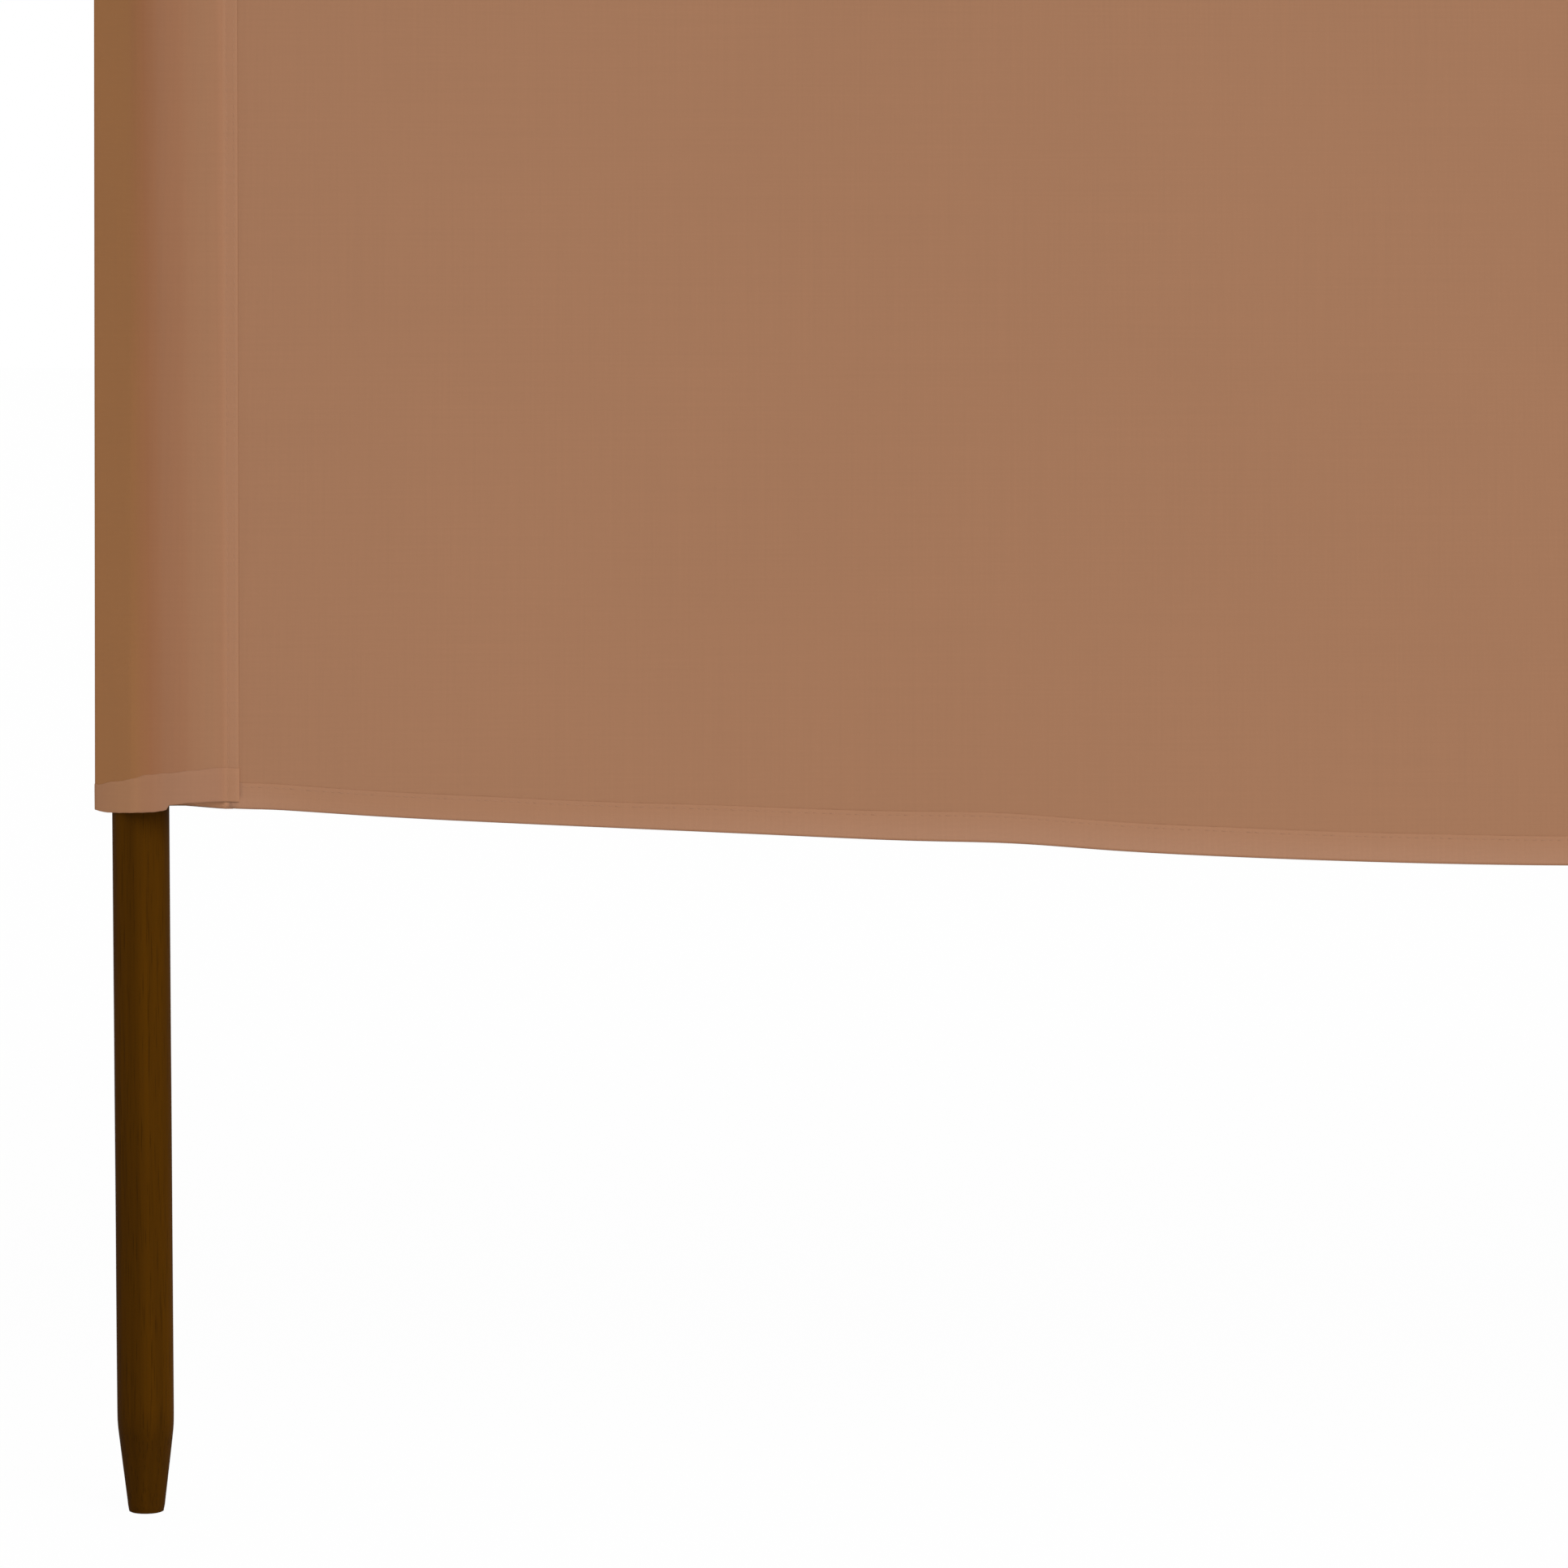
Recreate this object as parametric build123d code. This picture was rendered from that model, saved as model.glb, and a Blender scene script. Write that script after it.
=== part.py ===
from build123d import *
import math
import os

# Fabric windbreak: a row of bays of slack cloth on round wooden posts.
# Millimetres. The row runs along +X, the front faces -Y and +Z is up.
# The origin is on the flat foot of the left end post.

# Row
bay_count = 5
bay_pitch = 1333.0

# Posts
post_diameter = 28.0
post_rise = 52.0
foot_diameter = 17.6
foot_chamfer = 1.0
foot_taper = 43.0
taper_offset = 0.5
top_chamfer = 2.5

# Cloth
cloth_height = 800.0
cloth_thickness = 1.0
mouth_height = 348.0
post_clearance = 0.3

# Pockets
fold_slack = 9.0
facet_length = 26.0
seam_slack = 29.5
seam_depth = 14.0
seam_width = 6.5
turned_thickness = 0.8
strip_bulge = 8.0
flap_lift = 6.0
flap_lift_run = 5.0

# Bays
bay_belly = 35.0
bottom_sag = 20.0
top_sag = 10.0
sag_round_run = 150.0

# Hems
hem_height = 15.0
hem_thickness = 0.8

post_radius = post_diameter / 2
pocket_radius = post_radius + post_clearance
fold_x = post_radius + fold_slack - cloth_thickness
seam_x = post_radius + seam_slack
pocket_end_x = seam_x + seam_width
cloth_top = mouth_height + cloth_height
post_length = cloth_top + post_rise
trim_reach = 2 * (bay_belly + post_diameter + seam_x)
upright = (Align.CENTER, Align.CENTER, Align.MIN)


def touch_point(x, y):
    """Where a line from this point touches the pocket's circle behind the post."""
    distance = math.hypot(x, y)
    towards = math.degrees(math.atan2(y, x))
    opening = math.degrees(math.acos(pocket_radius / distance))
    angle = towards + opening if x > 0 else towards - opening
    at = math.radians(angle)
    return pocket_radius * math.cos(at), pocket_radius * math.sin(at)


# Post: a round shank whose foot is turned to a blunt cone, a little off the centre line
def make_post():
    foot_radius = foot_diameter / 2
    flare = (post_radius + taper_offset - foot_radius) / (post_radius - foot_radius)
    cone = Cone(foot_radius, post_radius + taper_offset, flare * foot_taper, align=upright)
    cone = chamfer(cone.edges().sort_by(Axis.Z)[0], foot_chamfer)
    foot = Pos(-taper_offset, 0, 0) * cone & Cylinder(post_radius, flare * foot_taper, align=upright)
    shank = Cylinder(post_radius, post_length - flare * foot_taper, align=upright)
    shank = chamfer(shank.edges().sort_by(Axis.Z)[-1], top_chamfer)
    return foot + Pos(0, 0, flare * foot_taper) * shank


# Plan of the space inside a pocket, left end: a crease, a flat facet over the post and a slack flap
def end_cavity():
    crease = Vector(-fold_x, 0)
    facet_angle = math.asin(pocket_radius / fold_x)
    facet_way = Vector(math.cos(facet_angle), -math.sin(facet_angle))
    facet_end = crease + facet_way * facet_length
    seam = (seam_x, -seam_depth)
    seam_touch = touch_point(*seam)
    crease_touch = touch_point(-fold_x, 0)
    return make_face([
        Line(crease, facet_end),
        TangentArc(facet_end, seam, tangent=facet_way),
        Line(seam, seam_touch),
        ThreePointArc(seam_touch, (0, pocket_radius), crease_touch),
        Line(crease_touch, crease),
    ])


# Plan of the space inside a middle pocket: the cloth goes behind the post, a strip closes the front
def middle_cavity():
    seam = (seam_x, -seam_depth)
    far_seam = (-seam_x, -seam_depth)
    touch = touch_point(*seam)
    far_touch = (-touch[0], touch[1])
    return make_face([
        ThreePointArc(far_seam, (0, -seam_depth - strip_bulge), seam),
        Line(seam, touch),
        ThreePointArc(touch, (0, pocket_radius), far_touch),
        Line(far_touch, far_seam),
    ])


# The layers sewn flat beside the post: the cloth, and the flap with its edge turned under
def seam_strip(side, layer):
    length = seam_width + layer
    cloth = Rectangle(length, layer, align=(Align.MAX, Align.MIN))
    flap = Rectangle(length, layer + turned_thickness, align=(Align.MAX, Align.MAX))
    strip = Pos(pocket_end_x, -seam_depth) * (cloth + flap)
    return strip if side > 0 else mirror(strip, Plane.YZ)


# Outline of a pocket in plan, filled, round a cloth of this thickness
def pocket_plan(is_end, layer):
    cavity = end_cavity() if is_end else middle_cavity()
    plan = offset(cavity, amount=layer, kind=Kind.ARC) + seam_strip(1, layer)
    return plan if is_end else plan + seam_strip(-1, layer)


# The lower edge of the flap lifts beside the post, so the cloth behind shows under it
def flap_lift_tool(height):
    start_x = post_radius - flap_lift_run / 2
    full_x = start_x + flap_lift_run
    low = -trim_reach
    edge = Spline((start_x, 0), (full_x, flap_lift), tangents=[(1, 0), (1, 0)])
    outline = [
        edge,
        Line((full_x, flap_lift), (2 * pocket_end_x, flap_lift)),
        Line((2 * pocket_end_x, flap_lift), (2 * pocket_end_x, low)),
        Line((2 * pocket_end_x, low), (start_x, low)),
        Line((start_x, low), (start_x, 0)),
    ]
    wedge = extrude(Plane.XZ * make_face(outline), trim_reach)
    return Pos(0, -seam_depth, height) * wedge


def make_pocket(is_end):
    cavity = end_cavity() if is_end else middle_cavity()
    walls = Pos(0, 0, mouth_height) * extrude(pocket_plan(is_end, cloth_thickness) - cavity, cloth_height)
    if is_end:
        walls = walls - flap_lift_tool(mouth_height)
    return walls


# Hem round a pocket: one more turn of cloth on the outside of its mouth
def make_pocket_hem(is_end, at_bottom):
    band = pocket_plan(is_end, cloth_thickness + hem_thickness) - pocket_plan(is_end, cloth_thickness)
    if not at_bottom:
        return Pos(0, 0, cloth_top - hem_height) * extrude(band, hem_height)
    if not is_end:
        return Pos(0, 0, mouth_height) * extrude(band, hem_height)
    tall = Pos(0, 0, mouth_height) * extrude(band, hem_height + flap_lift)
    over = Pos(0, 0, mouth_height + hem_height) * extrude(band, hem_height)
    lifted = over - flap_lift_tool(mouth_height + hem_height)
    return tall - flap_lift_tool(mouth_height) - lifted


# Plan of a bay's cloth: an arc that bellies to the front, as thick as given
def bay_plan(front_extra, back_extra):
    start_x = pocket_end_x
    end_x = bay_pitch - pocket_end_x
    front_y = -seam_depth - front_extra
    back_y = -seam_depth + cloth_thickness + back_extra
    middle_x = bay_pitch / 2
    return make_face([
        ThreePointArc((start_x, front_y), (middle_x, front_y - bay_belly), (end_x, front_y)),
        Line((end_x, front_y), (end_x, back_y)),
        ThreePointArc((end_x, back_y), (middle_x, back_y - bay_belly), (start_x, back_y)),
        Line((start_x, back_y), (start_x, front_y)),
    ])


# A sagging edge of a bay, front view: two straight runs and a wide round between them
def sagging_edge(height, sag):
    half_run = bay_pitch / 2 - pocket_end_x
    slope = sag / (half_run - sag_round_run / 2)
    sag_radius = sag_round_run * math.hypot(1, slope) / slope
    corner = (bay_pitch / 2, height - slope * half_run)
    return FilletPolyline(
        (pocket_end_x, height), corner, (bay_pitch - pocket_end_x, height), radius=sag_radius
    )


# Front view of a bay between two heights, each edge sagging to the middle
def bay_window(low, low_sag, high, high_sag):
    lower = sagging_edge(low, low_sag)
    upper = sagging_edge(high, high_sag)
    outline = make_face([lower, Line(lower @ 1, upper @ 1), upper, Line(upper @ 0, lower @ 0)])
    return extrude(Plane.XZ * outline, trim_reach, both=True)


def bay_solid(front_extra, back_extra, low, low_sag, high, high_sag):
    reach = bay_pitch + trim_reach
    band = Pos(0, 0, mouth_height - reach) * extrude(bay_plan(front_extra, back_extra), 3 * reach)
    return band & bay_window(low, low_sag, high, high_sag)


def make_panel():
    return bay_solid(0, 0, mouth_height + hem_thickness, bottom_sag, cloth_top - hem_thickness, top_sag)


# Hem of a bay: the cloth turned over the edge, in front and behind
def make_bottom_hem(panel):
    turned = bay_solid(
        hem_thickness, hem_thickness, mouth_height, bottom_sag, mouth_height + hem_height, bottom_sag
    )
    return turned - panel


def make_top_hem(panel):
    turned = bay_solid(hem_thickness, hem_thickness, cloth_top - hem_height, top_sag, cloth_top, top_sag)
    return turned - panel


def write(shape, name):
    export_step(shape, f"parts/{name}.step")


os.makedirs("parts", exist_ok=True)

post = make_post()
panel = make_panel()
bottom_hem = make_bottom_hem(panel)
top_hem = make_top_hem(panel)
pocket_pieces = {}
for is_end in (True, False):
    pocket_pieces[is_end] = {
        "pocket": make_pocket(is_end),
        "pocket_bottom_hem": make_pocket_hem(is_end, True),
        "pocket_top_hem": make_pocket_hem(is_end, False),
    }

for index in range(bay_count + 1):
    at_post = Pos(index * bay_pitch, 0, 0)
    write(at_post * post, f"post_{index + 1}")
    is_end = index in (0, bay_count)
    for name, piece in pocket_pieces[is_end].items():
        if index == bay_count:
            piece = mirror(piece, Plane.YZ)
        write(at_post * piece, f"{name}_{index + 1}")

for index in range(bay_count):
    at_bay = Pos(index * bay_pitch, 0, 0)
    write(at_bay * panel, f"panel_{index + 1}")
    write(at_bay * bottom_hem, f"bottom_hem_{index + 1}")
    write(at_bay * top_hem, f"top_hem_{index + 1}")
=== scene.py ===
import bpy
import bmesh
from math import acos, atan2, cos, exp, hypot, pi, radians, sin, sqrt
from mathutils import Matrix, Vector, noise
from mathutils.geometry import interpolate_bezier


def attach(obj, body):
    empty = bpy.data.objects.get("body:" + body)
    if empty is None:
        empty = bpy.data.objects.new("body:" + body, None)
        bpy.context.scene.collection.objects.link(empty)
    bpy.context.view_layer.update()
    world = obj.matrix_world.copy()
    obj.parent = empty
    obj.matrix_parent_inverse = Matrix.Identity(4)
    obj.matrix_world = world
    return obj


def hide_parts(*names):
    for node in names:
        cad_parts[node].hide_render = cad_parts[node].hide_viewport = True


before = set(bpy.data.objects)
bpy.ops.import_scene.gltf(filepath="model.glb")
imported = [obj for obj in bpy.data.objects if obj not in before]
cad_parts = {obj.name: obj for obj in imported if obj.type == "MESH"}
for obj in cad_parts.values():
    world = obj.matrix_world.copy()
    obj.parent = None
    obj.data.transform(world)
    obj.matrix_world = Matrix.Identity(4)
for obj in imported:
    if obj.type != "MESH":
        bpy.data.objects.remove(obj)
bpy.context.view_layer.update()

scene = bpy.context.scene
scene.view_settings.view_transform = "Standard"

# Camera. It stands in front of the left end of the row, level with the lower edge of the cloth and
# looking a little down, so that the foot of the end post and the corner of the first bay fill the frame.
camera_aim = Vector((0.3156, 0.0, 0.3616))
camera_turn = radians(3.0)
camera_tilt = radians(4.4)
camera_distance = 3.0
looking = Vector((-sin(camera_turn) * cos(camera_tilt), cos(camera_turn) * cos(camera_tilt),
                  -sin(camera_tilt)))
camera_data = bpy.data.cameras.new("camera")
camera_data.sensor_width = 36.0
camera_data.lens = 141.4
camera = bpy.data.objects.new("camera", camera_data)
camera.location = camera_aim - camera_distance * looking
camera.rotation_euler = looking.to_track_quat("-Z", "Y").to_euler()
scene.collection.objects.link(camera)
scene.camera = camera

# Floor and light. A plain white floor and surround, an even light from all round and one wide soft
# lamp from the front right. The floor keeps a faint shadow of the row.
def maths(tree, kind, first, second=None, third=None):
    """A Math node; each of its values is a number or the socket it comes from."""
    node = tree.nodes.new("ShaderNodeMath")
    node.operation = kind
    for slot_number, value in enumerate((first, second, third)):
        if value is None:
            continue
        if isinstance(value, (int, float)):
            node.inputs[slot_number].default_value = value
        else:
            tree.links.new(value, node.inputs[slot_number])
    return node.outputs[0]

def graded(tree, value, low, high, at_low=0.0, at_high=1.0):
    """A Map Range node: at_low where the value is low, at_high where it is high, even between."""
    node = tree.nodes.new("ShaderNodeMapRange")
    for socket, number in (("From Min", low), ("From Max", high), ("To Min", at_low), ("To Max", at_high)):
        node.inputs[socket].default_value = number
    tree.links.new(value, node.inputs["Value"])
    return node.outputs["Result"]

def white_to_the_lens(tree):
    """1 for rays from the lens, reflections and glass, 0 for the rays that light the row."""
    path = tree.nodes.new("ShaderNodeLightPath")
    seen = maths(tree, "MAXIMUM", path.outputs["Is Camera Ray"], path.outputs["Is Glossy Ray"])
    return maths(tree, "MAXIMUM", seen, path.outputs["Is Transmission Ray"])

world = bpy.data.worlds.new("surround")
world.use_nodes = True
scene.world = world
surround = world.node_tree
even_light = 0.53
white = (1.0, 1.0, 1.0, 1.0)
backdrop = surround.nodes["Background"]
backdrop.inputs["Color"].default_value = white
level = graded(surround, white_to_the_lens(surround), 0.0, 1.0, even_light, 1.0)
surround.links.new(level, backdrop.inputs["Strength"])

floor_reach = 60.0
floor_grey = 0.90
lens_white = 0.975
floor_mesh = bpy.data.meshes.new("floor")
floor_bm = bmesh.new()
bmesh.ops.create_grid(floor_bm, x_segments=1, y_segments=1, size=floor_reach)
floor_bm.to_mesh(floor_mesh)
floor_bm.free()
floor = bpy.data.objects.new("floor", floor_mesh)
scene.collection.objects.link(floor)
floor_paint = bpy.data.materials.new("white floor")
floor_paint.use_nodes = True
floor_tree = floor_paint.node_tree
floor_tree.nodes.clear()
painted = floor_tree.nodes.new("ShaderNodeBsdfDiffuse")
painted.inputs["Color"].default_value = (floor_grey, floor_grey, floor_grey, 1.0)
glow = floor_tree.nodes.new("ShaderNodeEmission")
glow.inputs["Color"].default_value = white
share = maths(floor_tree, "MULTIPLY", white_to_the_lens(floor_tree), lens_white)
floor_mix = floor_tree.nodes.new("ShaderNodeMixShader")
floor_out = floor_tree.nodes.new("ShaderNodeOutputMaterial")
floor_tree.links.new(share, floor_mix.inputs["Fac"])
floor_tree.links.new(painted.outputs[0], floor_mix.inputs[1])
floor_tree.links.new(glow.outputs[0], floor_mix.inputs[2])
floor_tree.links.new(floor_mix.outputs[0], floor_out.inputs["Surface"])
floor_mesh.materials.append(floor_paint)

lamp_turn, lamp_height = radians(35.0), radians(32.0)
lamp_data = bpy.data.lights.new("soft lamp", "SUN")
lamp_data.energy = 1.85
lamp_data.angle = radians(38.0)
lamp = bpy.data.objects.new("soft lamp", lamp_data)
lamp_from = Vector((sin(lamp_turn) * cos(lamp_height), -cos(lamp_turn) * cos(lamp_height),
                    sin(lamp_height)))
lamp.rotation_euler = lamp_from.to_track_quat("Z", "Y").to_euler()
scene.collection.objects.link(lamp)

# Posts. Six round softwood rods, stained dark brown, each turned down at the foot to a blunt taper
# that sits a little off the centre line, with the top end eased. They stand on the ground.
bay_pitch = 1333.0
bay_count = 5
post_length = 1200.0
post_radius = 14.0
post_sides = 64
foot_radius = 8.8
foot_ease = 0.9
foot_flat = 0.5
foot_shift = 0.1
taper_height = 47.0
taper_over = 0.5
taper_top = taper_height + 6.0
taper_rings = 22
shoulder_round = 0.12
shank_ring = 30.0
top_ease = 2.5
turning_depth = 0.05
metres = 0.001

def finish_piece(name, bm, paint, slot_name, *nodes):
    """Turns a mesh drawn in millimetres into a piece in metres that rides on the row."""
    bmesh.ops.scale(bm, vec=(metres, metres, metres), verts=bm.verts)
    mesh = bpy.data.meshes.new(name)
    bm.to_mesh(mesh)
    bm.free()
    mesh.materials.append(paint)
    piece = bpy.data.objects.new(name, mesh)
    scene.collection.objects.link(piece)
    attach(piece, "root")
    if nodes:
        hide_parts(*nodes)
    return piece

def rumple(*spot):
    """Smooth noise between -1 and 1, for what the lathe and the hang of the cloth leave uneven."""
    return noise.noise(Vector(spot))

def turned_post(x):
    """A post: its outline spun round, and its foot brought in to the taper."""
    bm = bmesh.new()
    outline = [(0.0, 0.0), (4.0, 0.0), (7.9, 0.0), (8.5, 0.3), (foot_radius, foot_ease)]
    for ring in range(1, taper_rings + 1):
        outline.append((post_radius, foot_ease + (taper_top - foot_ease) * ring / taper_rings))
    height = taper_top
    while height < post_length - 40.0:
        height += shank_ring
        outline.append((post_radius, height))
    outline += [(post_radius, post_length - top_ease), (13.2, post_length - 0.8), (11.6, post_length)]
    outline += [(6.0, post_length), (0.0, post_length)]
    line = [bm.verts.new((radius, 0.0, height)) for radius, height in outline]
    edges = [bm.edges.new(pair) for pair in zip(line, line[1:])]
    bmesh.ops.spin(bm, geom=line + edges, cent=(0, 0, 0), axis=(0, 0, 1), angle=2 * pi,
                   steps=post_sides, use_merge=True)
    bmesh.ops.remove_doubles(bm, verts=bm.verts, dist=0.0005)
    bmesh.ops.recalc_face_normals(bm, faces=bm.faces)
    flare = post_radius + taper_over - foot_radius
    for corner in bm.verts:
        along = hypot(corner.co.x, corner.co.y)
        height = corner.co.z
        if along < 1e-6:
            continue
        way = Vector((corner.co.x / along, corner.co.y / along))
        if foot_flat < height < taper_top + 2.0:
            cone = foot_radius + flare * (height - foot_ease) / taper_height
            reach = foot_shift * way.x + sqrt(max(cone * cone - (foot_shift * way.y) ** 2, 0.01))
            soft = 0.5 * (reach + along - sqrt((reach - along) ** 2 + shoulder_round))
            corner.co.x, corner.co.y = way.x * soft, way.y * soft
        elif height <= foot_flat:
            corner.co.x += foot_shift
        if height > 4.0:
            hollow = turning_depth * (1.0 + rumple(way.x * 1.4 + x, way.y * 1.4, height / 60.0))
            corner.co.x -= way.x * hollow
            corner.co.y -= way.y * hollow
    for face in bm.faces:
        face.smooth = True
    for edge in bm.edges:
        if len(edge.link_faces) == 2 and edge.calc_face_angle(0.0) > radians(28.0):
            edge.smooth = False
    bmesh.ops.translate(bm, vec=(x, 0.0, 0.0), verts=bm.verts)
    return bm

def new_paint(name, group_name, tint, roughness, bump_height):
    """A material whose colour, roughness and relief come from one of the node groups."""
    paint = bpy.data.materials.new(name)
    paint.use_nodes = True
    tree = paint.node_tree
    shader = tree.nodes["Principled BSDF"]
    pattern = tree.nodes.new("ShaderNodeGroup")
    pattern.node_tree = bpy.data.node_groups[group_name]
    pattern.inputs["Colour"].default_value = (*tint, 1.0)
    pattern.inputs["Roughness"].default_value = roughness
    bump = tree.nodes.new("ShaderNodeBump")
    bump.inputs["Strength"].default_value = 1.0
    bump.inputs["Distance"].default_value = bump_height * metres
    tree.links.new(pattern.outputs["Colour"], shader.inputs["Base Color"])
    tree.links.new(pattern.outputs["Roughness"], shader.inputs["Roughness"])
    tree.links.new(pattern.outputs["Height"], bump.inputs["Height"])
    tree.links.new(bump.outputs["Normal"], shader.inputs["Normal"])
    return paint, tree, shader, pattern

def new_group(name, ins, outs):
    """An empty node group with these inputs and outputs, and its two end nodes."""
    group = bpy.data.node_groups.new(name, "ShaderNodeTree")
    for socket, kind in ins:
        group.interface.new_socket(name=socket, in_out="INPUT", socket_type=kind)
    for socket, kind in outs:
        group.interface.new_socket(name=socket, in_out="OUTPUT", socket_type=kind)
    return group, group.nodes.new("NodeGroupInput"), group.nodes.new("NodeGroupOutput")

def cloudy(group, place, spots, detail=2.0):
    """Soft noise, with about that many spots to the metre along each axis."""
    mapping = group.nodes.new("ShaderNodeMapping")
    mapping.inputs["Scale"].default_value = spots
    clouds = group.nodes.new("ShaderNodeTexNoise")
    clouds.inputs["Scale"].default_value = 1.0
    clouds.inputs["Detail"].default_value = detail
    group.links.new(place, mapping.inputs["Vector"])
    group.links.new(mapping.outputs["Vector"], clouds.inputs["Vector"])
    return clouds.outputs["Fac"]

def scaled_colour(group, colour, value):
    """A colour with all its parts times a value."""
    product = group.nodes.new("ShaderNodeVectorMath")
    product.operation = "SCALE"
    group.links.new(colour, product.inputs[0])
    group.links.new(value, product.inputs["Scale"])
    return product.outputs[0]

def make_stained_wood():
    """Grain, pores and blotches under the stain, which is darker on the end grain and the taper."""
    group, start, end = new_group(
        "stained wood",
        [("Place", "NodeSocketVector"), ("Facing", "NodeSocketVector"), ("Colour", "NodeSocketColor"),
         ("Roughness", "NodeSocketFloat")],
        [("Colour", "NodeSocketColor"), ("Roughness", "NodeSocketFloat"), ("Height", "NodeSocketFloat")])
    place = start.outputs["Place"]
    broad = cloudy(group, place, (95.0, 95.0, 2.2), 3.0)
    streak = cloudy(group, place, (420.0, 420.0, 7.0), 3.0)
    pores = cloudy(group, place, (1500.0, 1500.0, 45.0), 1.0)
    blotch = cloudy(group, place, (26.0, 26.0, 9.0))
    pore_mask = graded(group, pores, 0.60, 0.72)
    facing = group.nodes.new("ShaderNodeSeparateXYZ")
    group.links.new(start.outputs["Facing"], facing.inputs[0])
    end_grain = graded(group, maths(group, "ABSOLUTE", facing.outputs["Z"]), 0.75, 0.97)
    parts = group.nodes.new("ShaderNodeSeparateXYZ")
    group.links.new(place, parts.inputs[0])
    taper = graded(group, parts.outputs["Z"], taper_top * metres, (taper_height - 10.0) * metres, 1.0, 0.80)
    shade = maths(group, "MULTIPLY_ADD", broad, 0.75, 0.24)
    for mask, lighter in ((streak, 0.45), (blotch, 0.30)):
        shade = maths(group, "MULTIPLY_ADD", mask, lighter, shade)
    for mask, darker in ((pore_mask, 0.30), (end_grain, 0.35)):
        shade = maths(group, "MULTIPLY", shade, maths(group, "MULTIPLY_ADD", mask, -darker, 1.0))
    shade = maths(group, "MULTIPLY", shade, taper)
    group.links.new(scaled_colour(group, start.outputs["Colour"], shade), end.inputs["Colour"])
    rough = maths(group, "ADD", start.outputs["Roughness"],
                  maths(group, "MULTIPLY", maths(group, "SUBTRACT", streak, 0.5), 0.30))
    rough = maths(group, "ADD", rough, maths(group, "MULTIPLY", end_grain, 0.15))
    group.links.new(rough, end.inputs["Roughness"])
    height = maths(group, "SUBTRACT", maths(group, "MULTIPLY", streak, 0.6),
                   maths(group, "MULTIPLY", pore_mask, 0.5))
    group.links.new(height, end.inputs["Height"])

def make_post_paint():
    paint, tree, shader, pattern = new_paint("stained wood", "stained wood", (0.0625, 0.0220, 0.0004),
                                             roughness=0.72, bump_height=0.10)
    spot = tree.nodes.new("ShaderNodeTexCoord")
    tree.links.new(spot.outputs["Object"], pattern.inputs["Place"])
    tree.links.new(spot.outputs["Normal"], pattern.inputs["Facing"])
    shader.inputs["Specular IOR Level"].default_value = 0.02
    return paint

make_stained_wood()
post_paint = make_post_paint()
for number in range(1, bay_count + 2):
    finish_piece(f"turned_post_{number}", turned_post((number - 1) * bay_pitch), post_paint, "post_wood",
                 f"post_{number}")

# Cloth. One long width of brown plain-woven polyester. At each end it goes behind the post, folds
# at a sharp crease and comes back in front as a flap; at a middle post a strip closes the pocket.
cloth_low = 348.0
cloth_top = 1148.0
cloth_weight = 0.28
seam_x = 43.5
flap_edge_x = 50.0
joint_x = 47.0
seam_y = -13.5
back_radius = 14.7
strip_y = -14.08
under_y = -13.79
fold_radius = 0.145
crease_x = -21.2
facet_length = 26.0
yarn = 0.45

def make_plain_weave():
    """Yarns over and under each other on the flat cloth, some a little paler or duller than others."""
    group, start, end = new_group(
        "plain weave",
        [("Place", "NodeSocketVector"), ("Colour", "NodeSocketColor"), ("Roughness", "NodeSocketFloat")],
        [("Colour", "NodeSocketColor"), ("Roughness", "NodeSocketFloat"), ("Height", "NodeSocketFloat")])
    place = start.outputs["Place"]
    parts = group.nodes.new("ShaderNodeSeparateXYZ")
    group.links.new(place, parts.inputs[0])
    turns = pi / (yarn * metres)
    across = maths(group, "SINE", maths(group, "MULTIPLY", parts.outputs["X"], turns))
    along = maths(group, "SINE", maths(group, "MULTIPLY", parts.outputs["Y"], turns))
    crossing = maths(group, "ABSOLUTE", maths(group, "MULTIPLY", across, along))
    warp = cloudy(group, place, (900.0, 9.0, 1.0))
    weft = cloudy(group, place, (9.0, 900.0, 1.0))
    slack = cloudy(group, place, (7.0, 5.0, 1.0))
    yarns = maths(group, "ADD", warp, weft)
    shade = maths(group, "MULTIPLY_ADD", yarns, 0.06, 0.94)
    # Slack: random paler patches. Crossing: yarn crowns painted lighter, the gaps between them painted
    # shade.
    for mask, middle, depth in ((slack, 0.5, 0.05), (crossing, 0.4, 0.08)):
        change = maths(group, "MULTIPLY", maths(group, "SUBTRACT", mask, middle), depth)
        shade = maths(group, "ADD", shade, change)
    group.links.new(scaled_colour(group, start.outputs["Colour"], shade), end.inputs["Colour"])
    rough = maths(group, "ADD", start.outputs["Roughness"],
                  maths(group, "MULTIPLY", maths(group, "SUBTRACT", yarns, 1.0), 0.15))
    group.links.new(rough, end.inputs["Roughness"])
    relief = maths(group, "ADD", crossing, maths(group, "MULTIPLY", yarns, 0.5))
    group.links.new(relief, end.inputs["Height"])

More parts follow.
